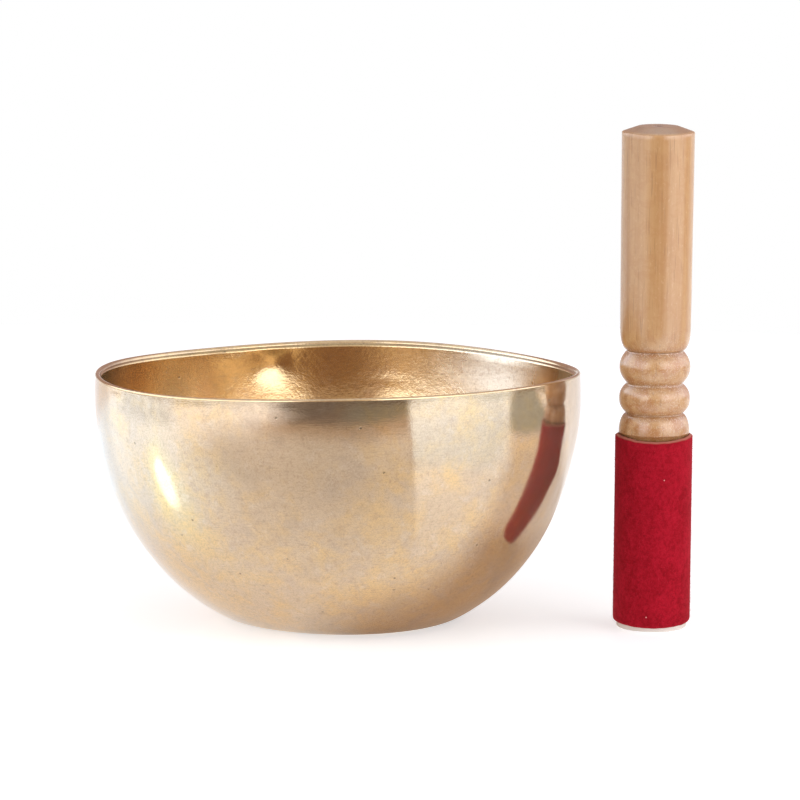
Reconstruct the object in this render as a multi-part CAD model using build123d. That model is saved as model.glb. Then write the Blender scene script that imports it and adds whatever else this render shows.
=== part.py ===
from build123d import *
import math
import os

# Singing bowl with its mallet, in millimetres. The origin is the centre of the
# bowl's base, +Z is up, and the mallet stands upright beside the bowl.

# Bowl: one piece of bronze, beaten out of a disc.
BOWL_DIAMETER = 200.0
BOWL_HEIGHT = 103.0
BOWL_BASE_RADIUS = 40.0
BOWL_WALL = 2.4
HEEL_RADIUS = 24.0
HEEL_TURN = 30.0
BELLY_TURN = 67.0
RIM_LEAN = 2.0
LIP_ROUNDING = 0.8

# Mallet: a turned stick with a suede sleeve glued round its lower half.
MALLET_HEIGHT = 206.8
MALLET_GAP = 13.8
MALLET_FRONT = 18.0
SLEEVE_RADIUS = 15.85
SLEEVE_LENGTH = 76.3
SUEDE_THICKNESS = 1.4
GLUE_THICKNESS = 0.15
SEAM_GAP = 0.5
SEAM_DIRECTION = 90.0
SLEEVE_BEVEL = 1.0
SLEEVE_FOOT_ROUNDING = 1.1
GLUE_MARGIN = 0.8

FOOT_PROUD = 1.7
FOOT_CHAMFER = 0.6
COLLAR_GAP = 0.4
COLLAR_STEP = 0.2
COLLAR_STRAIGHT = 2.6
COLLAR_ROUND = 7.3
BEAD_COUNT = 2
BEAD_PITCH = 12.95
BEAD_BULGE = 3.1
NECK_RADIUS = 11.4
GRIP_ROUND = 8.8
GRIP_FOOT_RADIUS = 14.35
GRIP_TOP_RADIUS = 14.8
CROWN_HEIGHT = 2.1
CROWN_FLAT_RADIUS = 8.4
CORNER_CHAMFER = 0.4
CENTRE_HOLE_RADIUS = 1.4
CENTRE_HOLE_DEPTH = 5.0
CENTRE_HOLE_POINT = 118.0

# Worked out from the sizes above.
sleeve_top = FOOT_PROUD + SLEEVE_LENGTH
glue_radius = SLEEVE_RADIUS - SUEDE_THICKNESS
spigot_radius = glue_radius - GLUE_THICKNESS
bead_radius = NECK_RADIUS + BEAD_BULGE
mallet_radius = max(SLEEVE_RADIUS, bead_radius, GRIP_FOOT_RADIUS, GRIP_TOP_RADIUS)
mallet_side = BOWL_DIAMETER / 2 + MALLET_GAP + mallet_radius
mallet_place = Location((mallet_side, -MALLET_FRONT, 0))


def bowl_arcs():
    """Radius, start heading and end heading of the heel, belly and wall arcs.

    The heading is the outline's direction in degrees above the horizontal. The belly and
    wall radii are the two that reach the bowl's diameter and its height.
    """
    heel, belly = math.radians(HEEL_TURN), math.radians(BELLY_TURN)
    lean = math.radians(RIM_LEAN)
    across = BOWL_DIAMETER / 2 - BOWL_BASE_RADIUS - HEEL_RADIUS * math.sin(heel)
    up = BOWL_HEIGHT - HEEL_RADIUS * (1 - math.cos(heel))
    belly_across = math.sin(belly) - math.sin(heel)
    belly_up = math.cos(heel) - math.cos(belly)
    wall_across = 1 - math.sin(belly)
    wall_up = math.cos(belly) + math.sin(lean)
    scale = belly_across * wall_up - wall_across * belly_up
    belly_radius = (across * wall_up - wall_across * up) / scale
    wall_radius = (belly_across * up - across * belly_up) / scale
    return [
        (HEEL_RADIUS, 0, HEEL_TURN),
        (belly_radius, HEEL_TURN, BELLY_TURN),
        (wall_radius, BELLY_TURN, 90 + RIM_LEAN),
    ]


def bowl_outline(inset):
    """The bowl's outline from its axis to its rim, moved into the metal by inset."""
    start = Vector(BOWL_BASE_RADIUS, inset)
    edges = [Line((0, inset), start)]
    for radius, first, last in bowl_arcs():
        inner = radius - inset
        normal = Vector(-math.sin(math.radians(first)), math.cos(math.radians(first)))
        centre = start + normal * inner
        edges.append(CenterArc(centre, inner, first - 90, last - first))
        start = edges[-1] @ 1
    return edges


def bowl():
    outer, inner = bowl_outline(0), bowl_outline(BOWL_WALL)
    lip = Line(outer[-1] @ 1, inner[-1] @ 1)
    axis = Line((0, 0), (0, BOWL_WALL))
    section = make_face(outer + [lip] + inner + [axis])
    corners = [v for v in section.vertices() if v.Y > BOWL_HEIGHT - BOWL_WALL]
    section = fillet(corners, LIP_ROUNDING)
    return revolve(Plane.XZ * section, Axis.Z)


def stick():
    """One turned piece of wood: foot, spigot, collar, beads, grip and crown."""
    collar_foot = sleeve_top + COLLAR_GAP
    collar_radius = spigot_radius + COLLAR_STEP
    collar_top = collar_foot + COLLAR_STRAIGHT
    first_neck = collar_top + COLLAR_ROUND
    foot = Polyline(
        (0, 0),
        (spigot_radius - FOOT_CHAMFER, 0),
        (spigot_radius, FOOT_CHAMFER),
        (spigot_radius, collar_foot),
        (collar_radius, collar_foot),
        (collar_radius, collar_top),
    )
    collar = TangentArc((collar_radius, collar_top), (NECK_RADIUS, first_neck), tangent=(0, 1))
    beads = []
    for i in range(BEAD_COUNT):
        low = first_neck + i * BEAD_PITCH
        middle = (bead_radius, low + BEAD_PITCH / 2)
        beads.append(ThreePointArc((NECK_RADIUS, low), middle, (NECK_RADIUS, low + BEAD_PITCH)))
    last_neck = first_neck + BEAD_COUNT * BEAD_PITCH
    grip_foot = (GRIP_FOOT_RADIUS, last_neck + GRIP_ROUND)
    grip_round = TangentArc(grip_foot, (NECK_RADIUS, last_neck), tangent=(0, -1))
    shoulder = MALLET_HEIGHT - CROWN_HEIGHT
    hole_floor = MALLET_HEIGHT - CENTRE_HOLE_DEPTH
    hole_point = CENTRE_HOLE_RADIUS / math.tan(math.radians(CENTRE_HOLE_POINT / 2))
    crown = Polyline(
        grip_foot,
        (GRIP_TOP_RADIUS, shoulder - CORNER_CHAMFER),
        (GRIP_TOP_RADIUS - CORNER_CHAMFER, shoulder),
        (CROWN_FLAT_RADIUS, MALLET_HEIGHT),
        (CENTRE_HOLE_RADIUS, MALLET_HEIGHT),
        (CENTRE_HOLE_RADIUS, hole_floor),
        (0, hole_floor - hole_point),
        (0, 0),
    )
    section = make_face([foot, collar] + beads + [grip_round, crown])
    return mallet_place * revolve(Plane.XZ * section, Axis.Z)


def glue_film():
    """The set glue between the spigot and the sleeve."""
    low, high = FOOT_PROUD + GLUE_MARGIN, sleeve_top - GLUE_MARGIN
    section = Polyline(
        (spigot_radius, low),
        (glue_radius, low),
        (glue_radius, high),
        (spigot_radius, high),
        close=True,
    )
    return mallet_place * revolve(Plane.XZ * make_face(section), Axis.Z)


def suede_sleeve():
    """A strip of suede bent round the spigot, its two ends meeting in an upright seam."""
    bevel = min(SLEEVE_BEVEL, 0.8 * SUEDE_THICKNESS)
    rounding = min(SLEEVE_FOOT_ROUNDING, 0.8 * SUEDE_THICKNESS)
    section = make_face(
        Polyline(
            (glue_radius, FOOT_PROUD),
            (SLEEVE_RADIUS, FOOT_PROUD),
            (SLEEVE_RADIUS, sleeve_top - bevel),
            (SLEEVE_RADIUS - bevel, sleeve_top),
            (glue_radius, sleeve_top),
            close=True,
        )
    )
    foot_corner = section.vertices().sort_by(Axis.Y)[:2].sort_by(Axis.X)[-1]
    section = fillet(foot_corner, rounding)
    strip = revolve(Plane.XZ * section, Axis.Z)
    slot = Pos(SLEEVE_RADIUS, 0, MALLET_HEIGHT / 2) * Box(
        2 * SLEEVE_RADIUS, SEAM_GAP, MALLET_HEIGHT
    )
    return mallet_place * (strip - Rot(0, 0, SEAM_DIRECTION) * slot)


parts = {
    "bowl": bowl(),
    "mallet_stick": stick(),
    "glue_film": glue_film(),
    "suede_sleeve": suede_sleeve(),
}
os.makedirs("parts", exist_ok=True)
for name, shape in parts.items():
    export_step(shape, f"parts/{name}.step")
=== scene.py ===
import math
import random

import bpy
from mathutils import Matrix, Vector


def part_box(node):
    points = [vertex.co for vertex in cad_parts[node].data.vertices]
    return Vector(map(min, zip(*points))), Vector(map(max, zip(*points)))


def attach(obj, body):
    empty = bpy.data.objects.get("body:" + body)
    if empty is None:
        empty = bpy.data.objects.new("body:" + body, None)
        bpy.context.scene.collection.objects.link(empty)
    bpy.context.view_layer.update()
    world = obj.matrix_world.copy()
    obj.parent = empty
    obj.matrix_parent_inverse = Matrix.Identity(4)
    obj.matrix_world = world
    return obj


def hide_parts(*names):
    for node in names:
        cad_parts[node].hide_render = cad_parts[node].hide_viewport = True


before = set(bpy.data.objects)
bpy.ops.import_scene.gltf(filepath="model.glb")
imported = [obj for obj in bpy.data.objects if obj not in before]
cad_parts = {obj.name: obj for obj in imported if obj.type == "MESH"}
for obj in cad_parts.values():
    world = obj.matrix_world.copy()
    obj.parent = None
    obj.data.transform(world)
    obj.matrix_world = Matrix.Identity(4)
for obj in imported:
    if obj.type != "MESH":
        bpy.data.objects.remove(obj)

scene = bpy.context.scene
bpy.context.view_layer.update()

# Camera. A long lens a little above the rim, looking slightly down on the bowl, with the
# mallet on the right.
CAMERA_PLACE = Vector((0.0, -2.447, 0.4553))
CAMERA_AIM = Vector((0.02567, 0.0, 0.09068))
CAMERA_ROLL = math.radians(0.5)
LENS_MM = 270.0
SENSOR_MM = 36.0

lens = bpy.data.cameras.new("camera")
lens.lens = LENS_MM
lens.sensor_width = SENSOR_MM
lens.clip_start, lens.clip_end = 0.1, 50.0
camera = bpy.data.objects.new("camera", lens)
scene.collection.objects.link(camera)
camera.location = CAMERA_PLACE
gaze = (CAMERA_AIM - CAMERA_PLACE).to_track_quat("-Z", "Y")
camera.rotation_mode = "QUATERNION"
camera.rotation_quaternion = gaze @ Matrix.Rotation(CAMERA_ROLL, 3, "Z").to_quaternion()
scene.camera = camera
scene.view_settings.view_transform = "Standard"

# Bowl. One disc of bronze, beaten up over a stake into a bowl with a flat base and a plain
# lip, so its wall carries the planishing marks, a few dents, and a rim that is never level.
BOWL_BASE_RADIUS = 0.040
BOWL_WALL = 0.0024
HEEL_RADIUS = 0.024
HEEL_TURN = math.radians(30)
BELLY_TURN = math.radians(67)
RIM_LEAN = math.radians(2)
OUTER_LIP = 0.0009
INNER_LIP = 0.0014
# Steps of the outline over the base, heel, belly and wall, and round each edge of the lip.
OUTLINE_STEPS = (10, 8, 36, 42)
LIP_STEPS = 5
BOWL_SIDES = 480
# How deep the slow swelling, the hammer's marks and the planishing go, and how many a metre.
SWELL, HAMMER_MARK, PLANISHING = 0.0010, 0.00024, 0.000085
SWELLS_PER_M, HAMMER_MARKS_PER_M, PLANISHING_PER_M = 11.0, 40.0, 105.0
# The marks start this share of the height above the base, and end within this one of the lip.
MARKS_START = 0.12
MARKS_END = (0.955, 0.985)
# The inside is struck on its own, so its marks are read this far from the outside's, in m.
INSIDE_MARKS = 3.7
# Height of the rim above or below its mean in mm, as cosine and sine of 1 to 4 times the
# angle round from +X.
RIM_WAVES = [(1.3, -2.2), (-0.5, -0.6), (-0.45, -0.2), (0.25, -0.3)]
BASE_SHIFT = 0.0018
# Each dent: degrees round from +X, height, half width, half height and depth in mm. A
# positive depth is knocked inwards.
DENTS = [
    (180, 60, 50, 24, -1.5),
    (0, 80, 30, 14, -0.7),
    (107, 94, 8, 7, -1.05),
    (102, 97, 2.5, 6, 0.12),
    (116, 97, 9, 4, 0.3),
    (78, 86, 9, 2.2, 0.12),
    (44, 72, 22, 22, 2.4),
    (30, 93, 6, 5, 0.2),
    (-134, 64, 14, 16, 0.15),
    (-108, 66, 2.5, 6, 0.16),
    (-112, 61, 1.5, 3, 0.1),
    (-97, 99, 6, 3, 0.06),
    (-20, 60, 14, 12, -0.2),
    (-32, 38, 15, 12, 0.2),
    (-14, 80, 6, 5, 0.26),
    (-22, 66, 5, 6, -0.22),
    (-17, 55, 5, 5, 0.22),
]


class Wire:
    """What a node gives. Arithmetic on it adds Math nodes to its tree."""

    def __init__(self, tree, socket):
        self.tree, self.socket = tree, socket

    def sum(self, operation, *values):
        return self.tree.add("ShaderNodeMath", {"operation": operation}, dict(enumerate(values)))

    def __add__(self, other):
        return self.sum("ADD", self, other)

    def __radd__(self, other):
        return self.sum("ADD", other, self)

    def __sub__(self, other):
        return self.sum("SUBTRACT", self, other)

    def __rsub__(self, other):
        return self.sum("SUBTRACT", other, self)

    def __mul__(self, other):
        return self.sum("MULTIPLY", self, other)

    def __truediv__(self, other):
        return self.sum("DIVIDE", self, other)

    def __neg__(self):
        return self.sum("MULTIPLY", self, -1.0)

    def __gt__(self, other):
        return self.sum("GREATER_THAN", self, other)

    def __lt__(self, other):
        return self.sum("LESS_THAN", self, other)

    def cos(self):
        return self.sum("COSINE", self)

    def sin(self):
        return self.sum("SINE", self)

    def exp(self):
        return self.sum("EXPONENT", self)

    def root(self):
        return self.sum("SQRT", self)

    def floor(self):
        return self.sum("FLOOR", self)

    def size(self):
        return self.sum("ABSOLUTE", self)

    def angle(self, other):
        """Degrees round from the other value to this one."""
        return self.sum("ARCTAN2", self, other) * (180 / math.pi)

    def within(self, low, high, soft):
        """1 between low and high, falling to 0 over soft at both ends."""
        return self.ease(low - soft, low + soft) * (1 - self.ease(high - soft, high + soft))

    def ease(self, low, high):
        """0 up to low, 1 from high, and a smooth rise between them."""
        span = {"Value": self, "From Min": low, "From Max": high}
        return self.tree.add("ShaderNodeMapRange", {"interpolation_type": "SMOOTHSTEP"}, span)


class Tree:
    """A node tree as it is filled. Every node that isn't arithmetic comes from add()."""

    def __init__(self, nodes):
        self.nodes = nodes
        nodes.nodes.clear()

    def add(self, kind, settings=None, inputs=None, output=0):
        node = self.nodes.nodes.new(kind)
        for name, value in (settings or {}).items():
            setattr(node, name, value)
        for key, value in (inputs or {}).items():
            if isinstance(value, Wire):
                self.nodes.links.new(value.socket, node.inputs[key])
            else:
                node.inputs[key].default_value = value
        return Wire(self, node.outputs[output] if node.outputs else None)

    def vector(self, x, y, z):
        return self.add("ShaderNodeCombineXYZ", {}, {"X": x, "Y": y, "Z": z})

    def split(self, vector):
        return [self.add("ShaderNodeSeparateXYZ", {}, {0: vector}, axis) for axis in range(3)]

    def stretched(self, vector, x, y, z):
        return self.add("ShaderNodeVectorMath", {"operation": "MULTIPLY"}, {0: vector, 1: (x, y, z)})

    def moved(self, vector, *steps):
        for step in steps:
            vector = self.add("ShaderNodeVectorMath", {"operation": "ADD"}, {0: vector, 1: step})
        return vector

    def times(self, vector, length):
        return self.add("ShaderNodeVectorMath", {"operation": "SCALE"}, {0: vector, "Scale": length})

    def noise(self, place, scale, detail=2.0, roughness=0.5, distortion=0.0):
        """Clouds from about 0 to 1, with about scale of them a metre."""
        sizes = {"Vector": place, "Scale": scale, "Detail": detail, "Roughness": roughness}
        return self.add("ShaderNodeTexNoise", {}, {**sizes, "Distortion": distortion})

    def specks(self, place, scale, share, small, large):
        """Round specks, 1 inside and 0 outside, in that share of scale cells a metre."""
        cells = {"Vector": place, "Scale": scale}
        away = self.add("ShaderNodeTexVoronoi", {}, cells)
        lot = self.split(self.add("ShaderNodeTexVoronoi", {}, cells, 1))[0]
        return (1 - away.ease(small, large)) * (lot < share)

    def blend(self, share, first, second):
        return self.add("ShaderNodeMix", {"data_type": "RGBA"}, {0: share, 6: first, 7: second}, 2)

    def layered(self, colour, *layers):
        """A colour with others laid over it in turn, each by its own share."""
        for share, over in layers:
            colour = self.blend(share, colour, over)
        return colour

    def surface(self, **parts):
        """The material's one shader, with its sockets set by name."""
        named = {name.replace("_", " "): value for name, value in parts.items()}
        shader = self.add("ShaderNodeBsdfPrincipled", {}, named)
        self.add("ShaderNodeOutputMaterial", {}, {"Surface": shader})


def finish(name, fill):
    """A material whose node tree is filled in by fill(tree)."""
    made = bpy.data.materials.new(name)
    made.use_nodes = True
    fill(Tree(made.node_tree))
    return made


def turning(name, sizes, shaping):
    """A Geometry Nodes tree that turns an outline round Z, moved by shaping(tree, at, given)."""
    group = bpy.data.node_groups.new(name, "GeometryNodeTree")
    group.interface.new_socket("Outline", in_out="INPUT", socket_type="NodeSocketGeometry")
    group.interface.new_socket("Sides", in_out="INPUT", socket_type="NodeSocketInt")
    for title in ("Axis X", "Axis Y", *sizes):
        group.interface.new_socket(title, in_out="INPUT", socket_type="NodeSocketFloat")
    group.interface.new_socket("Finish", in_out="INPUT", socket_type="NodeSocketMaterial")
    group.interface.new_socket("Shape", in_out="OUTPUT", socket_type="NodeSocketGeometry")
    tree = Tree(group)
    entry = tree.add("NodeGroupInput").socket.node
    given = {socket.name: Wire(tree, socket) for socket in entry.outputs if socket.name}
    outline, sides = given["Outline"], given["Sides"]
    count = tree.add("GeometryNodeAttributeDomainSize", {"component": "MESH"}, {"Geometry": outline})
    net = {"Size X": 1.0, "Size Y": 1.0, "Vertices X": sides + 1, "Vertices Y": count}
    shape = tree.add("GeometryNodeMeshGrid", {}, net)
    number = tree.add("GeometryNodeInputIndex")
    column = ((number + 0.5) / count).floor()
    row = number - column * count

    def on_outline(value):
        read = {"Geometry": outline, "Value": value, "Index": row}
        return tree.split(tree.add("GeometryNodeSampleIndex", {"data_type": "FLOAT_VECTOR"}, read))

    def kept(title):
        return tree.add("GeometryNodeInputNamedAttribute", {"data_type": "FLOAT_VECTOR"}, {"Name": title})

    turn = column * (2 * math.pi) / sides
    radius, _, height = on_outline(tree.add("GeometryNodeInputPosition"))
    out_across, inner, out_up = on_outline(kept("outwards"))
    sheet_radius, reach, sheet_height = on_outline(kept("sheet"))
    round_z = (turn.cos(), turn.sin())
    at = {"turn": turn, "inner": inner, "height": height, "sheet_height": sheet_height}
    at["sheet"] = tree.vector(sheet_radius * round_z[0], sheet_radius * round_z[1], sheet_height)
    relief, shift = shaping(tree, at, given)
    place = tree.vector(radius * round_z[0], radius * round_z[1], height)
    outwards = tree.vector(out_across * round_z[0], out_across * round_z[1], out_up)
    axis = tree.vector(given["Axis X"], given["Axis Y"], 0.0)
    place = tree.moved(place, tree.times(outwards, relief), shift, axis)
    shape = tree.add("GeometryNodeSetPosition", {}, {"Geometry": shape, "Position": place})
    for title, value in (("reach", reach), ("inner", inner), ("around", turn)):
        stored = {"Geometry": shape, "Name": title, "Value": value}
        shape = tree.add("GeometryNodeStoreNamedAttribute", {"data_type": "FLOAT"}, stored)
    shape = tree.add("GeometryNodeMergeByDistance", {}, {"Geometry": shape, "Distance": 1e-7})
    shape = tree.add("GeometryNodeSetShadeSmooth", {}, {"Geometry": shape})
    shape = tree.add("GeometryNodeRealizeInstances", {}, {"Geometry": shape})
    shape = tree.add("GeometryNodeSetMaterial", {}, {"Geometry": shape, "Material": given["Finish"]})
    tree.add("NodeGroupOutput", {}, {0: shape})
    return group


def made_by(group, name, start, values):
    """The plain mesh object that a Geometry Nodes tree makes from a starting mesh."""
    maker = bpy.data.objects.new(name + "_maker", start)
    scene.collection.objects.link(maker)
    modifier = maker.modifiers.new("shape", "NODES")
    modifier.node_group = group
    for item in group.interface.items_tree:
        if item.in_out == "INPUT" and item.name in values:
            modifier[item.identifier] = values[item.name]
    bpy.context.view_layer.update()
    made = maker.evaluated_get(bpy.context.evaluated_depsgraph_get())
    mesh = bpy.data.meshes.new_from_object(made)
    bpy.data.objects.remove(maker)
    mesh.name = name
    piece = bpy.data.objects.new(name, mesh)
    scene.collection.objects.link(piece)
    return piece


def outline_mesh(name, rows):
    """An outline as a chain of points, each with its outward direction and its place on the sheet.

    A row is radius, height, heading, inner, and the sheet's radius, reach and height.
    """
    mesh = bpy.data.meshes.new(name)
    points = [(max(0.0, radius), 0.0, height) for radius, height, *_ in rows]
    mesh.from_pydata(points, [(i, i + 1) for i in range(len(points) - 1)], [])
    outwards = mesh.attributes.new("outwards", "FLOAT_VECTOR", "POINT")
    sheet = mesh.attributes.new("sheet", "FLOAT_VECTOR", "POINT")
    for i, (_, _, heading, inner, *line) in enumerate(rows):
        outwards.data[i].vector = (math.sin(heading), inner, -math.cos(heading))
        sheet.data[i].vector = line
    return mesh


def bowl_arcs(radius, height):
    """Radius, first heading and last heading of the heel, belly and wall."""
    across = radius - BOWL_BASE_RADIUS - HEEL_RADIUS * math.sin(HEEL_TURN)
    up = height - HEEL_RADIUS * (1 - math.cos(HEEL_TURN))
    belly_across = math.sin(BELLY_TURN) - math.sin(HEEL_TURN)
    belly_up = math.cos(HEEL_TURN) - math.cos(BELLY_TURN)
    wall_across = 1 - math.sin(BELLY_TURN)
    wall_up = math.cos(BELLY_TURN) + math.sin(RIM_LEAN)
    scale = belly_across * wall_up - wall_across * belly_up
    belly = (across * wall_up - wall_across * up) / scale
    wall = (belly_across * up - across * belly_up) / scale
    last = math.pi / 2 + RIM_LEAN
    return [(HEEL_RADIUS, 0, HEEL_TURN), (belly, HEEL_TURN, BELLY_TURN), (wall, BELLY_TURN, last)]


def bowl_outline(radius, height):
    """The bowl's outline, from its middle up its outside, round the lip and down its inside."""
    flat = OUTLINE_STEPS[0]
    line = []
    for i in range(flat + 1):
        across = BOWL_BASE_RADIUS * i / flat
        line.append((across, 0.0, 0.0, across))
    for (arc, first, last), count in zip(bowl_arcs(radius, height), OUTLINE_STEPS[1:]):
        x, z, _, reach = line[-1]
        for i in range(1, count + 1):
            turn = first + (last - first) * i / count
            across = x + arc * (math.sin(turn) - math.sin(first))
            up = z + arc * (math.cos(first) - math.cos(turn))
            line.append((across, up, turn, reach + arc * (turn - first)))
    outside = [(x, z, turn, 0.0, x, reach, z) for x, z, turn, reach in line[:-1]]
    inside = [
        (x - BOWL_WALL * math.sin(turn), z + BOWL_WALL * math.cos(turn), turn, 1.0, x, reach, z)
        for x, z, turn, reach in reversed(line[:-1])
    ]
    x, z, turn, reach = line[-1]
    lip = []
    for side, rounding in enumerate((OUTER_LIP, INNER_LIP)):
        for i in range(LIP_STEPS + 1):
            angle = math.pi / 2 * (side + i / LIP_STEPS)
            middle = BOWL_WALL - rounding if side else rounding
            depth = middle - rounding * math.cos(angle)
            rise = rounding * (math.sin(angle) - 1)
            across = x - depth * math.sin(turn) + rise * math.cos(turn)
            up = z + depth * math.cos(turn) + rise * math.sin(turn)
            lip.append((across, up, turn, 0.5, x, reach, z))
    return outline_mesh("bowl_outline", outside + lip + inside)


def beating(tree, at, given):
    """How far the hammer moved each point of the disc, and how the finished bowl leans."""
    share = at["sheet_height"] / given["Height"]
    grown = share.ease(0.0, 1.0)
    marked = share.ease(0.0, MARKS_START) * (1 - share.ease(*MARKS_END))
    struck = tree.moved(at["sheet"], tree.vector(at["inner"] * INSIDE_MARKS, 0.0, 0.0))
    swelling = tree.noise(at["sheet"], SWELLS_PER_M, 1.0) - 0.5
    hammered = tree.noise(struck, HAMMER_MARKS_PER_M, 0.0) - 0.5
    planished = tree.noise(struck, PLANISHING_PER_M, 1.0) - 0.5
    relief = swelling * given["Swell"] * grown
    relief = relief + hammered * given["Hammer marks"] * marked
    relief = relief + planished * given["Planishing"] * marked
    x, y, z = tree.split(at["sheet"])
    for degrees, height, wide, tall, depth in DENTS:
        east, north = math.cos(math.radians(degrees)), math.sin(math.radians(degrees))
        beside = (y * east - x * north) * (1000 / wide)
        above = (z - height / 1000) * (1000 / tall)
        facing = x * east + y * north > 0.0
        hollow = (-(beside * beside + above * above)).exp() * facing * marked
        relief = relief - hollow * (depth / 1000)
    wave = 0.0
    for times, (cosine, sine) in enumerate(RIM_WAVES, start=1):
        turn = at["turn"] * times
        wave = wave + turn.cos() * (cosine / 1000) + turn.sin() * (sine / 1000)
    return relief, tree.vector((1 - grown) * BASE_SHIFT, 0.0, wave * grown)


# Colours of the patina outside, then inside, then of the marks on both; the pale of the dull patch is
# partly a painted highlight.
PALE_BRONZE, GOLD_BRONZE = (0.615, 0.465, 0.325, 1), (0.685, 0.475, 0.255, 1)
BROWN_HAZE, PINK_BLOOM, GREY_SMUDGE = (0.55, 0.43, 0.33, 1), (0.67, 0.54, 0.42, 1), (0.42, 0.33, 0.25, 1)
INSIDE_GOLD, INSIDE_AMBER = (0.70, 0.50, 0.25, 1), (0.63, 0.43, 0.21, 1)
BROWN_STAIN, DULL_HIGHLIGHT_WHITE = (0.56, 0.34, 0.17, 1), (0.86, 0.81, 0.72, 1)
BROWN_CRUMB, DARK_GRAIN = (0.45, 0.31, 0.21, 1), (0.36, 0.26, 0.17, 1)
DARK_SCRATCH, DARK_PIT = (0.38, 0.29, 0.2, 1), (0.13, 0.09, 0.05, 1)
# A patch below the rim inside is rougher, as dull wear, and painted pale as a painted highlight: how far
# out along X and Y, and how high, in m.
DULL_OUT, DULL_HEIGHT = 0.070, 0.092
DULL_SPREAD_ROUND, DULL_SPREAD_UP = 900, 2500
DIAGONAL = 0.707


def bronze_finish(tree):
    """Bronze with a thin uneven patina, brushed round the wall, with pits and fine scratches."""
    place = tree.add("ShaderNodeTexCoord", output=3)
    x, y, z = tree.split(place)
    reach = tree.add("ShaderNodeAttribute", {"attribute_name": "reach"}, output=2)
    inner = tree.add("ShaderNodeAttribute", {"attribute_name": "inner"}, output=2)
    out = (x * x + y * y + 1e-8).root()
    brushed = tree.noise(tree.vector(x / out * 1.3, y / out * 1.3, reach * 75), 16.0, 3.0, 0.65)
    scored = tree.noise(tree.vector(x / out * 0.5, y / out * 0.5, reach * 90), 34.0, 2.0, 0.6)
    broad = tree.noise(place, 26.0, 2.0, 0.5, 0.6)
    patches = tree.noise(place, 100.0, 5.0, 0.62, 0.35)
    haze = tree.noise(tree.moved(place, (3.1, 0.7, 1.9)), 60.0, 5.0, 0.65, 0.6)
    blooms = tree.noise(tree.moved(place, (0.4, 2.7, 5.2)), 170.0, 4.0, 0.62, 0.2)
    smudges = tree.noise(tree.moved(place, (2.2, 1.1, 4.4)), 44.0, 4.0, 0.62, 0.2).ease(0.54, 0.70)
    grain = tree.noise(place, 1300.0, 2.0, 0.7)
    crumbs = tree.noise(tree.moved(place, (1.7, 3.3, 0.2)), 420.0, 4.0, 0.72)
    uneven = tree.moved(place, tree.times(tree.vector(grain, patches, haze), 0.0015))
    pits = tree.specks(uneven, 210.0, 0.07, 0.05, 0.15)
    # The dull patch inside: it makes the surface rougher, and its pale colour is a painted highlight.
    beside = (x - DULL_OUT) * DIAGONAL - (y - DULL_OUT) * DIAGONAL
    above = z - DULL_HEIGHT
    dull = beside * beside * DULL_SPREAD_ROUND + above * above * DULL_SPREAD_UP
    dull = (-dull).exp() * inner * (x + y > 0.08)
    stains = haze.ease(0.46, 0.74) * inner * (1 - dull)
    low = 1 - (z + broad * 0.04).ease(0.035, 0.10)
    gold = (broad * 0.4 + patches * 0.6 + low * 0.09).ease(0.44, 0.68)
    colour = tree.layered(
        tree.blend(gold, PALE_BRONZE, GOLD_BRONZE),
        (haze.ease(0.49, 0.66) * 0.6, BROWN_HAZE),
        (blooms.ease(0.54, 0.68) * 0.4, PINK_BLOOM),
        (smudges * 0.26, GREY_SMUDGE),
        (inner * 0.88, tree.blend(patches, INSIDE_GOLD, INSIDE_AMBER)),
        (stains * 0.7, BROWN_STAIN),
        # Painted highlight: the dull patch painted near white.
        (dull * (0.7 + crumbs * 0.3), DULL_HIGHLIGHT_WHITE),
        (crumbs.ease(0.52, 0.68) * 0.42, BROWN_CRUMB),
        ((0.62 - grain).ease(0.0, 0.35) * 0.34, DARK_GRAIN),
        (scored.ease(0.54, 0.72) * 0.34, DARK_SCRATCH),
        (pits * 0.7, DARK_PIT),
    )
    rough = 0.045 + smudges * 0.05 + haze.ease(0.45, 0.75) * 0.06 + brushed * 0.04
    rough = rough + patches * 0.03 + dull * 0.22 + inner * 0.045
    relief = brushed * 0.35 + scored * 0.35 + grain * 0.6 + crumbs * inner * 4.0 - pits * 3.0
    bump = tree.add("ShaderNodeBump", {}, {"Strength": 0.35, "Distance": 0.00006, "Height": relief})
    tree.surface(Base_Color=colour, Metallic=0.90, Roughness=rough, Normal=bump)


bowl_low, bowl_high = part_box("bowl")
bowl_radius = (bowl_high.x - bowl_low.x) / 2
bowl_height = bowl_high.z - bowl_low.z
bronze = finish("beaten_bronze", bronze_finish)
bowl_tree = turning("beaten_bowl", ["Height", "Swell", "Hammer marks", "Planishing"], beating)
bowl = made_by(bowl_tree, "beaten_bowl", bowl_outline(bowl_radius, bowl_height), {
    "Sides": BOWL_SIDES, "Height": bowl_height, "Finish": bronze,
    "Swell": SWELL, "Hammer marks": HAMMER_MARK, "Planishing": PLANISHING,
})
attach(bowl, "bowl")
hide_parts("bowl")

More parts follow.
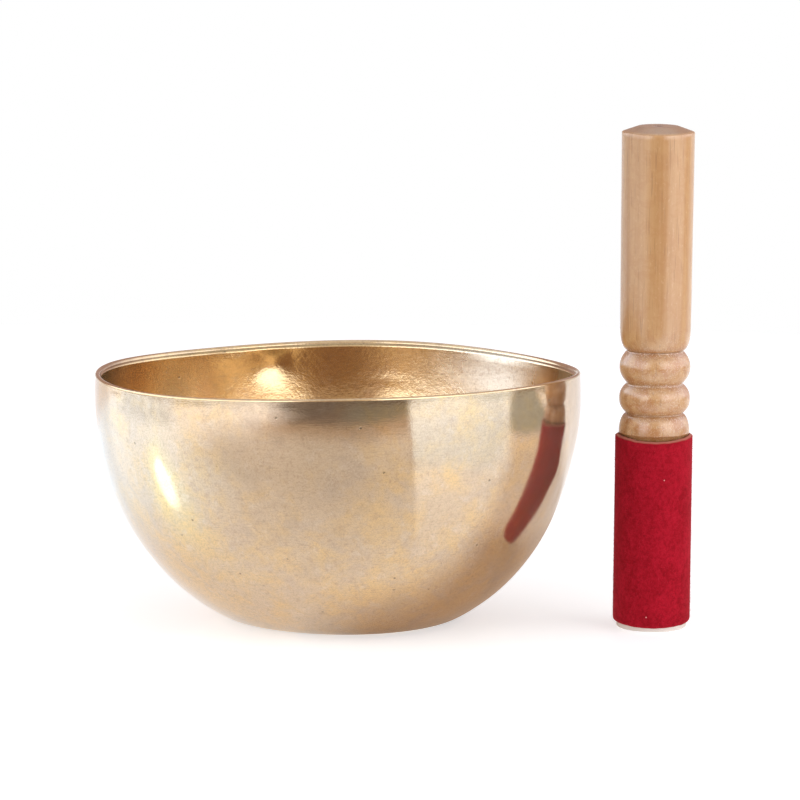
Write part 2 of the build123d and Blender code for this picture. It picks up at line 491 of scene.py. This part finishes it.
# Mallet stick. A billet of pale hardwood turned between centres, with the lathe's centre hole
# left in its crown: a plain grip, two beads, a collar, and the spigot that the suede goes on.
FOOT_PROUD = 0.0017
FOOT_CHAMFER = 0.0006
SPIGOT_RADIUS = 0.0143
COLLAR_FOOT, COLLAR_RADIUS, COLLAR_TOP = 0.0809, 0.0145, 0.0812
NECK_RADIUS = 0.0113
NECKS = (0.0888, 0.10125, 0.1149)
BEAD_RADIUS = 0.0145
BEAD_FULLNESS = (2.5, 2.1)
GRIP_FOOT_RADIUS, GRIP_FOOT = 0.01446, 0.1234
GRIP_TOP_RADIUS, SHOULDER = 0.0149, 0.2047
CROWN_FLAT_RADIUS = 0.0084
CORNER = 0.0006
CENTRE_HOLE_RADIUS, CENTRE_HOLE_DEPTH, CENTRE_HOLE_POINT = 0.0019, 0.0050, 0.00114
COLLAR_STEPS, BEAD_STEPS, GRIP_FOOT_STEPS, GRIP_STEPS = 8, 20, 10, 40
STICK_SIDES = 128
# How far the tool's rings and the sanding's flats stand out, and how many a metre.
RINGS, SANDING = 0.00003, 0.00012
RINGS_PER_M, FLATS_PER_M = 700.0, 90.0

stick_low, stick_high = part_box("mallet_stick")
mallet_x = (stick_low.x + stick_high.x) / 2
mallet_y = (stick_low.y + stick_high.y) / 2
mallet_height = stick_high.z


def stick_outline():
    """The turned profile: foot, spigot, collar, beads, grip, crown and centre hole."""
    line = [
        (0.0, 0.0), (0.006, 0.0), (SPIGOT_RADIUS - FOOT_CHAMFER, 0.0), (SPIGOT_RADIUS, FOOT_CHAMFER),
        (SPIGOT_RADIUS, 0.04), (SPIGOT_RADIUS, COLLAR_FOOT), (COLLAR_RADIUS, COLLAR_FOOT),
        (COLLAR_RADIUS, COLLAR_TOP),
    ]
    for i in range(1, COLLAR_STEPS + 1):
        turn = math.pi / 2 * i / COLLAR_STEPS
        fall = COLLAR_RADIUS - NECK_RADIUS
        rise = NECKS[0] - COLLAR_TOP
        line.append((COLLAR_RADIUS - fall * (1 - math.cos(turn)), COLLAR_TOP + rise * math.sin(turn)))
    for low, high, fullness in zip(NECKS, NECKS[1:], BEAD_FULLNESS):
        for i in range(1, BEAD_STEPS + 1):
            share = i / BEAD_STEPS
            bulge = (1 - abs(2 * share - 1) ** fullness) * (BEAD_RADIUS - NECK_RADIUS)
            line.append((NECK_RADIUS + bulge, low + (high - low) * share))
    for i in range(1, GRIP_FOOT_STEPS + 1):
        turn = math.pi / 2 * i / GRIP_FOOT_STEPS
        rise = GRIP_FOOT - NECKS[2]
        out = GRIP_FOOT_RADIUS - NECK_RADIUS
        line.append((NECK_RADIUS + out * math.sin(turn), NECKS[2] + rise * (1 - math.cos(turn))))
    for i in range(1, GRIP_STEPS + 1):
        share = i / GRIP_STEPS
        radius = GRIP_FOOT_RADIUS + (GRIP_TOP_RADIUS - GRIP_FOOT_RADIUS) * share
        line.append((radius, GRIP_FOOT + (SHOULDER - CORNER - GRIP_FOOT) * share))
    line.append((GRIP_TOP_RADIUS - 0.2 * CORNER, SHOULDER - 0.4 * CORNER))
    line.append((GRIP_TOP_RADIUS - CORNER, SHOULDER))
    for share in (0.3, 0.7, 0.96, 1.0):
        radius = GRIP_TOP_RADIUS - CORNER + (CROWN_FLAT_RADIUS - GRIP_TOP_RADIUS + CORNER) * share
        line.append((radius, SHOULDER + (mallet_height - SHOULDER) * share))
    hole_floor = mallet_height - CENTRE_HOLE_DEPTH
    line += [
        (0.006, mallet_height), (0.003, mallet_height), (CENTRE_HOLE_RADIUS + 0.0002, mallet_height),
        (CENTRE_HOLE_RADIUS, mallet_height - 0.0002), (CENTRE_HOLE_RADIUS, hole_floor),
        (0.0, hole_floor - CENTRE_HOLE_POINT),
    ]
    rows = []
    for (x0, z0), (x, z), (x1, z1) in zip(line[:1] + line, line, line[1:] + line[-1:]):
        rows.append((x, z, math.atan2(z1 - z0, x1 - x0), 0.0, x, z, z))
    return outline_mesh("stick_outline", rows)


def tool_marks(tree, at, given):
    """The faint rings and flats that the gouge and the sanding leave."""
    rings = tree.noise(tree.vector(0.0, 0.0, at["height"]), RINGS_PER_M, 1.0) - 0.5
    uneven = tree.noise(at["sheet"], FLATS_PER_M, 1.0) - 0.5
    relief = rings * given["Rings"] + uneven * given["Sanding"]
    return relief, tree.vector(0.0, 0.0, 0.0)


# Colours of the wood's figure, of its two ends, of the painted shade in the centre hole, in the grooves and
# over the collar, of random toasting that is also a painted reflection over the beads, and of the chalk
# round the beads.
PALE_WOOD, BROWN_WOOD = (0.58, 0.32, 0.13, 1), (0.40, 0.18, 0.055, 1)
PALE_STREAK, PALE_RAY = (0.60, 0.35, 0.165, 1), (0.66, 0.42, 0.23, 1)
BROWN_PORE, DARK_FLECK = (0.30, 0.14, 0.055, 1), (0.09, 0.04, 0.02, 1)
END_GRAIN, HOLE_SHADE, PALE_FOOT = (0.29, 0.165, 0.10, 1), (0.14, 0.045, 0.025, 1), (0.74, 0.66, 0.60, 1)
TOAST_AND_REFLECTION, GROOVE_AND_COLLAR_SHADE, CHALK = (0.40, 0.15, 0.035, 1), (0.26, 0.10, 0.03, 1), (0.78, 0.62, 0.48, 1)
# The pith lies outside the billet, this far off its axis, so the rings show as upright grain.
PITH_X, PITH_Y = 0.031, 0.055
GROOVE_SHARPNESS = 620


def wood_finish(tree):
    """Varnished pale hardwood: upright grain, short open pores, and a few dark flecks."""
    place = tree.moved(tree.add("ShaderNodeTexCoord", output=3), (-mallet_x, -mallet_y, 0.0))
    x, y, z = tree.split(place)
    bend = tree.noise(tree.stretched(place, 1, 1, 0.25), 45.0, 2.0)
    pith = tree.vector(x + PITH_X + bend * 0.004, y - PITH_Y, z * 0.02)
    wave = {"Vector": pith, "Scale": 55.0, "Distortion": 3.0, "Detail": 2.0, "Detail Scale": 2.0}
    rings = tree.add("ShaderNodeTexWave", {"wave_type": "RINGS", "rings_direction": "Z"}, wave)
    streaks = tree.noise(tree.stretched(place, 1, 1, 0.035), 420.0, 3.0, 0.6)
    clouds = tree.noise(tree.stretched(place, 1, 1, 0.3), 90.0, 3.0, 0.6, 0.5)
    pores = tree.noise(tree.stretched(place, 1, 1, 0.05), 1500.0, 1.0, 0.5).ease(0.60, 0.72)
    rays = tree.noise(tree.stretched(place, 1, 1, 0.45), 1100.0, 2.0, 0.6).ease(0.58, 0.72)
    flecks = tree.specks(tree.stretched(place, 1, 1, 0.16), 240.0, 0.035, 0.10, 0.22)
    # Darker orange patches at random; from the grip's foot down over the beads and collar they are laid on
    # thicker as a painted reflection of the bowl.
    toast_and_reflection = tree.noise(tree.stretched(place, 1, 1, 1.1), 170.0, 4.0, 0.7, 0.5).ease(0.46, 0.60)
    chalk = tree.noise(place, 1900.0, 1.0, 0.5).ease(0.56, 0.66)
    end_grain = z.ease(SHOULDER - 0.0002, SHOULDER + 0.0006)
    # Painted shade: the crown's centre hole and a ring round it are painted dark.
    centre = 1 - (x * x + y * y).root().ease(0.0017, 0.0024)
    # Painted shade in the grooves at the necks; the chalk is laid on thicker there too.
    groove_shade_and_chalk = 0.0
    for neck in NECKS:
        groove = (z - neck) * GROOVE_SHARPNESS
        groove_shade_and_chalk = groove_shade_and_chalk + (-(groove * groove)).exp()
    # Painted shadow on the stick below the first neck: over the collar and the strip of spigot above the
    # suede.
    shaded = (1 - z.ease(0.080, 0.0895)) * 0.5
    beaded = 1 - z.ease(0.112, 0.128)
    colour = tree.layered(
        tree.blend(rings * 0.35 + clouds * 0.65, PALE_WOOD, BROWN_WOOD),
        (streaks.ease(0.35, 0.75) * 0.5, PALE_STREAK),
        (rays * 0.30, PALE_RAY),
        (pores * 0.5, BROWN_PORE),
        (flecks * 0.8, DARK_FLECK),
        (end_grain * 0.75, END_GRAIN),
        # Painted shade in the centre hole.
        (centre * end_grain, HOLE_SHADE),
        # Random toasting, thicker low down as a painted reflection.
        (toast_and_reflection * (0.20 + beaded * 0.50), TOAST_AND_REFLECTION),
        # Painted shade in the grooves and painted shadow over the collar.
        (groove_shade_and_chalk * 0.40 + shaded * 0.45, GROOVE_AND_COLLAR_SHADE),
        (chalk * beaded * (0.25 + groove_shade_and_chalk * 0.35), CHALK),
        # The lowest 1.6 to 3 mm of the stick is made pale pinkish white.
        (1 - z.ease(0.0016, 0.0030), PALE_FOOT),
    )
    relief = streaks * 0.3 - pores * 0.8 - flecks * 1.5
    bump = tree.add("ShaderNodeBump", {}, {"Strength": 0.4, "Distance": 0.0001, "Height": relief})
    rough = 0.34 + clouds * 0.12 + pores * 0.15
    tree.surface(Base_Color=colour, Roughness=rough, Normal=bump, Specular_IOR_Level=0.6,
                 Coat_Weight=0.7, Coat_Roughness=0.22, Coat_IOR=1.75)


wood = finish("turned_hardwood", wood_finish)
stick_tree = turning("turned_stick", ["Rings", "Sanding"], tool_marks)
stick = made_by(stick_tree, "turned_stick", stick_outline(), {
    "Sides": STICK_SIDES, "Axis X": mallet_x, "Axis Y": mallet_y, "Finish": wood,
    "Rings": RINGS, "Sanding": SANDING,
})
stick.data.shade_smooth()
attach(stick, "mallet")
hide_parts("mallet_stick")

# Glue film. Amber contact glue that holds the suede to the spigot. It keeps its CAD shape, and
# only shows as a line where the sleeve's seam stands open.
def glue_finish(tree):
    """Set contact glue, cloudy and dull."""
    place = tree.add("ShaderNodeTexCoord", output=3)
    clouds = tree.noise(place, 260.0, 3.0)
    colour = tree.blend(clouds, (0.30, 0.15, 0.05, 1), (0.45, 0.27, 0.11, 1))
    bump = tree.add("ShaderNodeBump", {}, {"Strength": 0.4, "Distance": 0.0001, "Height": clouds})
    tree.surface(Base_Color=colour, Roughness=0.35 + clouds * 0.2, Normal=bump)


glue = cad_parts["glue_film"]
glue.data.materials.clear()
glue.data.materials.append(finish("set_glue", glue_finish))

# Suede sleeve. One strip of red split hide with its top edge skived, stretched round the
# spigot and glued, its two ends meeting in an upright seam at the back.
SLEEVE_RADIUS = 0.01585
SUEDE_THICKNESS = 0.0014
SLEEVE_TOP = 0.0789
SKIVE_ACROSS, SKIVE_UP = 0.0011, 0.0008
FOOT_ACROSS, FOOT_UP = 0.0011, 0.0019
TOP_RISE, FOOT_RISE = 0.0014, 0.0009
SEAM_GAP = 0.0005
SLEEVE_SIDES = 240
SLEEVE_ROWS = 96
FOOT_STEPS = 5
# The knife's wander along both edges: how far at least and at most, and waves a turn.
WANDER_LEAST, WANDER_MOST = 0.00002, 0.00006
WANDER_WAVES = (5, 8, 13, 21)


def sleeve_mesh():
    """The strip bent to a tube, its foot rolled in, and its top edge pared to a thin bevel."""
    inside = SLEEVE_RADIUS - SUEDE_THICKNESS
    knife = random.Random(4)
    wobbles = []
    for waves in WANDER_WAVES:
        start = knife.uniform(0, math.tau)
        wobbles.append((start, knife.uniform(WANDER_LEAST, WANDER_MOST), waves))
    verts, faces, cut = [], [], []
    half_gap = SEAM_GAP / 2 / SLEEVE_RADIUS
    for i in range(SLEEVE_SIDES + 1):
        turn = math.pi / 2 + half_gap + (2 * math.pi - 2 * half_gap) * i / SLEEVE_SIDES
        wander = sum(size * math.sin(waves * turn + start) for start, size, waves in wobbles)
        sideways = math.cos(turn) ** 2
        low = FOOT_PROUD + FOOT_RISE * sideways + wander * 0.6
        high = SLEEVE_TOP + TOP_RISE * sideways + wander
        loop = [(inside, low + 0.0001, 1.0), (SLEEVE_RADIUS - FOOT_ACROSS, low, 0.5)]
        for k in range(1, FOOT_STEPS + 1):
            roll = math.pi / 2 * k / FOOT_STEPS
            out = FOOT_ACROSS * (1 - math.sin(roll))
            loop.append((SLEEVE_RADIUS - out, low + FOOT_UP * (1 - math.cos(roll)), 0.0))
        first, last = low + FOOT_UP, high - SKIVE_UP
        for k in range(1, SLEEVE_ROWS + 1):
            loop.append((SLEEVE_RADIUS, first + (last - first) * k / SLEEVE_ROWS, 0.0))
        loop.append((SLEEVE_RADIUS - 0.12 * SKIVE_ACROSS, last + 0.25 * SKIVE_UP, 0.35))
        loop.append((SLEEVE_RADIUS - 0.45 * SKIVE_ACROSS, last + 0.62 * SKIVE_UP, 1.0))
        loop.append((SLEEVE_RADIUS - SKIVE_ACROSS, high, 1.0))
        loop.append((inside, high + 0.00005, 1.0))
        loop_size = len(loop)
        for radius, height, edge in loop:
            verts.append((mallet_x + radius * math.cos(turn), mallet_y + radius * math.sin(turn), height))
            cut.append(edge)
    for i in range(SLEEVE_SIDES):
        for k in range(loop_size):
            a, b = i * loop_size + k, i * loop_size + (k + 1) % loop_size
            faces.append((a, a + loop_size, b + loop_size, b))
    faces.append(tuple(range(loop_size)))
    faces.append(tuple(reversed(range(SLEEVE_SIDES * loop_size, (SLEEVE_SIDES + 1) * loop_size))))
    mesh = bpy.data.meshes.new("suede_strip")
    mesh.from_pydata(verts, [], faces)
    layer = mesh.attributes.new("cut_edge", "FLOAT", "POINT")
    layer.data.foreach_set("value", cut)
    mesh.shade_smooth()
    return mesh


# Colours of the brushed hide, of the nap's light and dark tufts, of lint and of the cut edge.
RED_DARK, RED_LIGHT = (0.27, 0.0035, 0.010, 1), (0.37, 0.006, 0.018, 1)
TUFT_LIGHT, TUFT_DARK, TUFT_DEEP = (0.44, 0.012, 0.030, 1), (0.18, 0.003, 0.009, 1), (0.15, 0.003, 0.008, 1)
LINT, CUT_EDGE = (0.85, 0.45, 0.42, 1), (0.42, 0.15, 0.11, 1)


def suede_finish(tree):
    """Dyed suede, its nap brushed here and there, with a little lint and a raw cut edge."""
    place = tree.add("ShaderNodeTexCoord", output=3)
    cut = tree.add("ShaderNodeAttribute", {"attribute_name": "cut_edge"}, output=2)
    brushed = tree.noise(tree.stretched(place, 1, 1, 0.6), 130.0, 3.0, 0.6, 0.8)
    tufts = tree.noise(place, 650.0, 3.0, 0.65)
    fine = tree.noise(place, 2600.0, 1.0)
    lint = tree.specks(place, 300.0, 0.03, 0.05, 0.10)
    colour = tree.layered(
        tree.blend(brushed.ease(0.3, 0.7), RED_DARK, RED_LIGHT),
        (tufts.ease(0.42, 0.66) * 0.3, TUFT_LIGHT),
        ((0.52 - tufts).ease(0.0, 0.15) * 0.3, TUFT_DARK),
        ((0.5 - fine).ease(0.0, 0.2) * 0.3, TUFT_DEEP),
        (lint * 0.8, LINT),
        (cut, CUT_EDGE),
    )
    relief = tufts * 0.7 + fine * 0.5
    bump = tree.add("ShaderNodeBump", {}, {"Strength": 0.6, "Distance": 0.0002, "Height": relief})
    tree.surface(Base_Color=colour, Roughness=0.95, Normal=bump, Sheen_Weight=0.12,
                 Sheen_Roughness=0.45, Sheen_Tint=(1.0, 0.2, 0.25, 1), Specular_IOR_Level=0.1)


suede = finish("red_suede", suede_finish)
sleeve = bpy.data.objects.new("suede_strip", sleeve_mesh())
scene.collection.objects.link(sleeve)
sleeve.data.materials.append(suede)
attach(sleeve, "mallet")
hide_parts("suede_sleeve")

# Suede nap. The loose fibres that the brushing has pulled out of the hide, a fraction of a
# millimetre long, which blur the sleeve's outline.
NAP_PER_M2 = 420000.0
FIBRE_LENGTH = 0.0008
FIBRE_RADIUS = 0.000032
# The most that a fibre leans off the hide, in radians, and turns about itself.
LEAN, SPIN = 1.1, 3.1
# Fibres grow on what lies within this of the sleeve's outside, in m.
OUTER_SKIN = 0.0002


def nap_tree():
    """A Geometry Nodes tree that plants leaning fibres over the outside of a hide."""
    group = bpy.data.node_groups.new("suede_nap", "GeometryNodeTree")
    group.interface.new_socket("Hide", in_out="INPUT", socket_type="NodeSocketGeometry")
    for title in ("Fibres per area", "Fibre length", "Fibre radius"):
        group.interface.new_socket(title, in_out="INPUT", socket_type="NodeSocketFloat")
    group.interface.new_socket("Finish", in_out="INPUT", socket_type="NodeSocketMaterial")
    group.interface.new_socket("Nap", in_out="OUTPUT", socket_type="NodeSocketGeometry")
    tree = Tree(group)
    entry = tree.add("NodeGroupInput").socket.node
    given = {socket.name: Wire(tree, socket) for socket in entry.outputs if socket.name}
    x, y, height = tree.split(tree.add("GeometryNodeInputPosition"))
    x, y = x - mallet_x, y - mallet_y
    outer = (x * x + y * y).root() > SLEEVE_RADIUS - OUTER_SKIN
    spread = {"Mesh": given["Hide"], "Selection": outer, "Density": given["Fibres per area"], "Seed": 7}
    points = tree.add("GeometryNodeDistributePointsOnFaces", {}, spread)
    rotation = Wire(tree, points.socket.node.outputs["Rotation"])
    cone = {"Vertices": 3, "Side Segments": 2, "Radius Top": given["Fibre radius"] * 0.3,
            "Radius Bottom": given["Fibre radius"], "Depth": given["Fibre length"]}
    fibre = tree.add("GeometryNodeMeshCone", {}, cone)
    most = {0: (-LEAN, -LEAN, -SPIN), 1: (LEAN, LEAN, SPIN), "Seed": 3}
    lean = tree.add("FunctionNodeRandomValue", {"data_type": "FLOAT_VECTOR"}, most)
    lean = tree.add("FunctionNodeEulerToRotation", {}, {0: lean})
    both = {"Rotation": rotation, "Rotate By": lean}
    rotation = tree.add("FunctionNodeRotateRotation", {"rotation_space": "LOCAL"}, both)
    placed = {"Points": points, "Instance": fibre, "Rotation": rotation}
    fibres = tree.add("GeometryNodeInstanceOnPoints", {}, placed)
    fibres = tree.add("GeometryNodeRealizeInstances", {}, {"Geometry": fibres})
    fibres = tree.add("GeometryNodeSetMaterial", {}, {"Geometry": fibres, "Material": given["Finish"]})
    tree.add("NodeGroupOutput", {}, {0: fibres})
    return group


def nap_finish(tree):
    """The dyed fibres, some paler than others."""
    place = tree.add("ShaderNodeTexCoord", output=3)
    clouds = tree.noise(place, 300.0, 2.0)
    colour = tree.blend(clouds.ease(0.35, 0.7), (0.32, 0.008, 0.022, 1), (0.50, 0.04, 0.06, 1))
    bump = tree.add("ShaderNodeBump", {}, {"Strength": 0.2, "Distance": 0.00005, "Height": clouds})
    tree.surface(Base_Color=colour, Roughness=0.9, Normal=bump, Specular_IOR_Level=0.1)


nap = made_by(nap_tree(), "suede_nap", sleeve.data, {
    "Fibres per area": NAP_PER_M2, "Fibre length": FIBRE_LENGTH, "Fibre radius": FIBRE_RADIUS,
    "Finish": finish("red_nap", nap_finish),
})
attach(nap, "mallet")

# Table. A round white table top that glows a little, so that it leaves hardly any shadow.
TABLE_RADIUS = 0.90
TABLE_SIDES = 96


def table_finish(tree):
    """White laminate with a soft gloss, glowing a little less on the left."""
    x, y, _ = tree.split(tree.add("ShaderNodeTexCoord", output=3))
    away = (x * 0.9 - y * 0.45).ease(-0.12, 0.14)
    glow = tree.blend(away, (0.49, 0.51, 0.54, 1), (0.50, 0.525, 0.545, 1))
    tree.surface(Base_Color=(0.76, 0.755, 0.76, 1), Roughness=0.3, Emission_Color=glow,
                 Emission_Strength=1.0)


def flat_disc(name, radius, height):
    """A round level sheet that isn't part of the object."""
    mesh = bpy.data.meshes.new(name)
    points = []
    for i in range(TABLE_SIDES):
        turn = i * math.tau / TABLE_SIDES
        points.append((radius * math.cos(turn), radius * math.sin(turn), height))
    mesh.from_pydata(points, [], [tuple(range(TABLE_SIDES))])
    disc = bpy.data.objects.new(name, mesh)
    scene.collection.objects.link(disc)
    return disc


table = flat_disc("table_top", TABLE_RADIUS, 0.0)
table.data.materials.append(finish("white_table", table_finish))


# Reflected room. The bowl mirrors the table round it, and this thin film over the table, which
# only mirrored rays meet, lightens and darkens what it shows them, in mm from the middle.
FILM_HEIGHT = 0.0004
FILM_MARGIN = 0.005
# The bright lens-shaped window on the left: its middle, half length, half width and slant.
WINDOW_X, WINDOW_Y = -209, -42
WINDOW_LONG, WINDOW_WIDE, WINDOW_SLANT = 66, 14, 0.17
# The line that parts the left of the table from the right: a point on it and its slant.
PARTING_X, PARTING_FRONT, PARTING_SLANT = 132, 221, 0.616
# The dark gap at the front, where the camera stands: where it begins, and its edge's ripple.
GAP_FRONT, GAP_RIPPLE = 530, 110
GAP_LEFT, GAP_RIGHT = (0.20, 0.145, 0.11, 1), (0.25, 0.235, 0.195, 1)
# How much of the table's light each zone gives back.
NEAR_KEEP, FRONT_KEEP, FAR_KEEP = (0.93, 0.93, 0.93, 1), (0.70, 0.66, 0.61, 1), (0.50, 0.39, 0.29, 1)
CORNER_KEEP, OLIVE_KEEP = (0.54, 0.42, 0.33, 1), (0.42, 0.42, 0.37, 1)
LINE_KEEP, STREAK_KEEP, RIGHT_KEEP = (0.45, 0.36, 0.3, 1), (0.40, 0.34, 0.27, 1), (0.84, 0.85, 0.86, 1)
ROOM_LIGHT, HALO_LIGHT = (0.25, 0.62, 1.0, 1), (0.55, 1.0, 0.75, 1)


def table_film(tree):
    """What mirrored rays find on the table, zone by zone."""
    place = tree.add("ShaderNodeTexCoord", output=3)
    x, y, _ = tree.split(place)
    x, y = x * 1000, y * 1000
    front = -y
    away = (x * x + y * y).root()
    along = (x - WINDOW_X) / WINDOW_LONG
    across = (y - WINDOW_Y + (x - WINDOW_X) * WINDOW_SLANT) / WINDOW_WIDE
    lens = (along * along + across * across).root()
    window = 1 - lens.ease(0.72, 1.1)
    halo = 1 - lens.ease(1.0, 3.2)
    beside = x - PARTING_X - (front - PARTING_FRONT) * PARTING_SLANT
    right_of = beside.ease(-4, 4)
    ripple = tree.noise(tree.stretched(place, 16, 9, 0), 1.0, 4.0, 0.7)
    gap_edge = GAP_FRONT + (ripple - 0.5) * GAP_RIPPLE
    gap = tree.blend(x.ease(-40, 120), GAP_LEFT, GAP_RIGHT)
    middle = x.ease(-430, -150) * (1 - right_of) * front.ease(60, 130)
    corner = y.ease(-88, -42) * x.ease(-20, 20) * (1 - x.ease(100, 150) * 0.4)
    corner = corner * (1 - y.ease(150, 260))
    line = (1 - beside.size().ease(3, 10)) * front.within(215, 440, 12)
    tail = 1 - (y + PARTING_FRONT - (x - PARTING_X) * 0.9).size().ease(2, 6)
    tail = tail * x.within(130, 156, 5)
    streaky = tree.noise(tree.stretched(place, 7, 30, 0), 1.0, 3.0, 0.7, 1.0).ease(0.40, 0.62)
    far_left = (1 - x.ease(-520, -440)) * y.within(-150, 330, 60)
    left = (1 - x.ease(-190, -70)) * front.within(-420, 130, 110)
    right = right_of * away.ease(215, 290) * front.ease(40, 120)
    keep = tree.layered(
        tree.blend(front.ease(70, 215), NEAR_KEEP, FRONT_KEEP),
        (front.ease(300, 460), FAR_KEEP),
        ((front - gap_edge).ease(-12, 8), gap),
    )
    keep = tree.layered(
        tree.blend(middle, (1, 1, 1, 1), keep),
        (corner, CORNER_KEEP),
        (x.ease(390, 430) * y.within(-75, 170, 12), OLIVE_KEEP),
        (line.sum("MAXIMUM", line, tail) * 0.75, LINE_KEEP),
        (far_left * streaky * 0.6, STREAK_KEEP),
        (right, RIGHT_KEEP),
    )
    light = tree.blend(halo * 0.8, ROOM_LIGHT, HALO_LIGHT)
    shine = left * 0.50 + right * 0.30 + halo * 0.14
    glow = tree.add("ShaderNodeEmission", {}, {"Color": light, "Strength": shine})
    flare = tree.add("ShaderNodeEmission", {}, {"Color": (1, 1, 1, 1), "Strength": window * 1.8})
    clear = tree.add("ShaderNodeBsdfTransparent", {}, {"Color": keep})
    glow = tree.add("ShaderNodeAddShader", {}, {0: glow, 1: flare})
    seen = tree.add("ShaderNodeAddShader", {}, {0: glow, 1: clear})
    tree.add("ShaderNodeOutputMaterial", {}, {"Surface": seen})


film = flat_disc("table_film", TABLE_RADIUS - FILM_MARGIN, FILM_HEIGHT)
film.data.materials.append(finish("table_film", table_film))
for seen_by in ("visible_camera", "visible_diffuse", "visible_shadow", "visible_transmission"):
    setattr(film, seen_by, False)


# Lights. Two tall softboxes at the sides, with a dark gap between them where the camera
# stands, a broad soft light overhead, and a white backdrop behind. What the bowl mirrors of
# them is in the world's mirrored part.
BOX_DISTANCE, BOX_WIDE = 1.0, 1.10
BOX_LOW, BOX_HIGH = -0.30, 1.0


def softbox(name, azimuth, glow, tint):
    """A softbox facing the middle, at so many degrees round from the camera's side."""
    light = bpy.data.lights.new(name, "AREA")
    light.shape = "RECTANGLE"
    light.size, light.size_y = BOX_WIDE, BOX_HIGH - BOX_LOW
    light.energy = glow * math.pi * BOX_WIDE * (BOX_HIGH - BOX_LOW)
    light.color = tint
    box = bpy.data.objects.new(name, light)
    turn = math.radians(azimuth)
    middle = (BOX_LOW + BOX_HIGH) / 2
    box.location = (BOX_DISTANCE * math.sin(turn), -BOX_DISTANCE * math.cos(turn), middle)
    aim = Vector((0, 0, middle)) - box.location
    box.rotation_mode = "QUATERNION"
    box.rotation_quaternion = aim.to_track_quat("-Z", "Y")
    box.visible_camera = False
    box.visible_glossy = False
    scene.collection.objects.link(box)


softbox("softbox_left", -59, 1.05, (0.97, 1.0, 1.0))
softbox("softbox_right", 65.5, 2.10, (0.97, 1.0, 1.02))

DARK_ROOM, WHITE = (0.15, 0.115, 0.09, 1), (1.0, 1.0, 1.0, 1)
world = bpy.data.worlds.new("studio")
scene.world = world
world.use_nodes = True
studio = Tree(world.node_tree)
view = studio.add("ShaderNodeTexCoord", output=0)
side, far, up = studio.split(view)
behind = far.ease(0.75, 0.92)
overhead = up.ease(0.15, 0.5)
lit = behind.sum("MAXIMUM", behind * 0.9, overhead * 0.8)
soft = studio.blend(lit, DARK_ROOM, WHITE)

# What mirrored rays meet, by the angle round from the camera's side, first near the table's
# level and then above the bowl's rim.
GAP_COLOUR, BOX_LEFT, BOX_RIGHT = (0.17, 0.13, 0.10, 1), (0.98, 1.05, 1.06, 1), (1.15, 1.32, 1.42, 1)
STAND_RIGHT, STAND_LEFT = (0.45, 0.37, 0.27, 1), (0.5, 0.42, 0.32, 1)
ABOVE_LEFT, ABOVE_RIGHT = (2.5, 2.65, 2.9, 1), (2.1, 2.25, 2.6, 1)
BACKDROP, ABOVE_FRONT, CAMERA_STAND = (0.50, 0.34, 0.30, 1), (3.3, 3.4, 3.6, 1), (0.75, 0.62, 0.5, 1)
round_to = side.angle(-far)
mottle = studio.noise(studio.stretched(view, 1, 1, 4), 9.0, 4.0, 0.7, 1.0).ease(0.42, 0.6)
level = studio.layered(
    WHITE,
    (round_to.within(-28, 34, 3), GAP_COLOUR),
    (round_to.within(-88, -31, 3), BOX_LEFT),
    (round_to.within(37, 91, 2), BOX_RIGHT),
    (round_to.within(92, 121, 2), STAND_RIGHT),
    (round_to.within(-145, -91, 4) * mottle, STAND_LEFT),
)
high = studio.layered(
    ABOVE_LEFT,
    (round_to.ease(40, 60), ABOVE_RIGHT),
    ((-round_to).ease(134, 143) + round_to.ease(103, 165), BACKDROP),
    (round_to.within(-46, 62, 12), ABOVE_FRONT),
    (round_to.within(-22, 18, 6), CAMERA_STAND),
)
mirrored = studio.layered(level, (up.ease(0.0, 0.05), high), (up.ease(0.50, 0.75), WHITE))
path = studio.add("ShaderNodeLightPath").socket.node
colour = studio.layered(
    soft,
    (Wire(studio, path.outputs["Is Glossy Ray"]), mirrored),
    (Wire(studio, path.outputs["Is Camera Ray"]), WHITE),
)
shade = studio.add("ShaderNodeBackground", {}, {"Color": colour, "Strength": 1.0})
studio.add("ShaderNodeOutputWorld", {}, {"Surface": shade})
